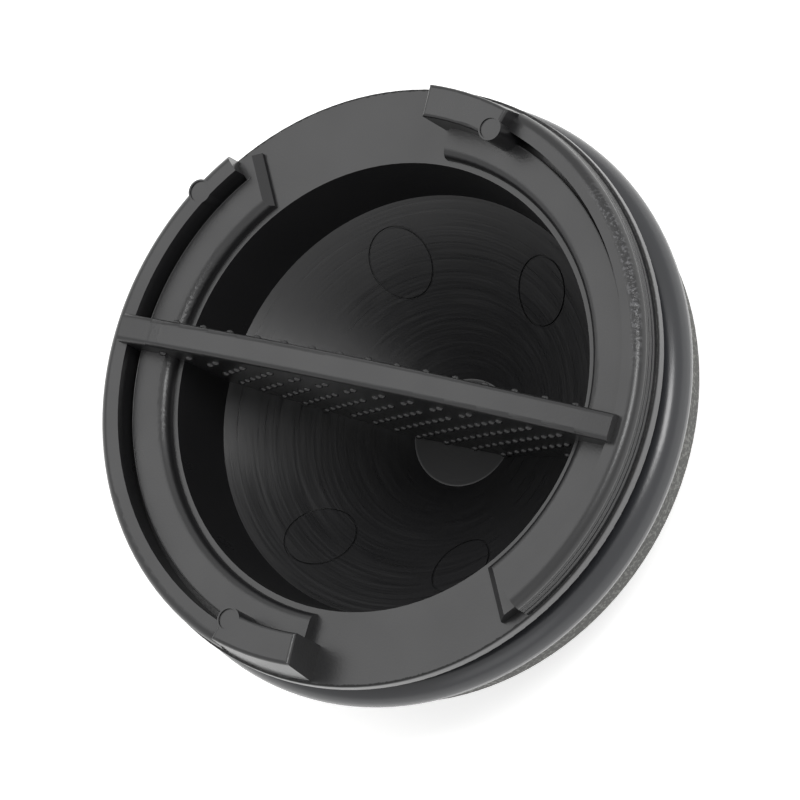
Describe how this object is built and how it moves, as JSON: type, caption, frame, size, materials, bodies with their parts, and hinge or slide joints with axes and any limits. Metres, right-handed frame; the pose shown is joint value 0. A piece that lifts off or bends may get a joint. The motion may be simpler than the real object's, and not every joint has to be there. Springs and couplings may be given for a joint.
{
  "type": "oil drain plug",
  "caption": "Round moulded twist-lock oil drain plug: funnel cup with a finger web across its mouth, lock walls with stop blocks, and a rubber sealing ring under the flange.",
  "frame": {"origin": "centre of the flat nose, the lowest face of the plug as it stands with its mouth up", "axes": "+Z out of the open mouth along the plug's axis, X along the finger web"},
  "size_m": [0.0754, 0.0754, 0.0314],
  "materials": {
    "body_plastic": "satin",
    "seal_rubber": "smooth, lightly oiled"
  },
  "bodies": {
    "root": {"plug_body": "body_plastic", "sealing_ring": "seal_rubber"}
  },
  "joints": []
}
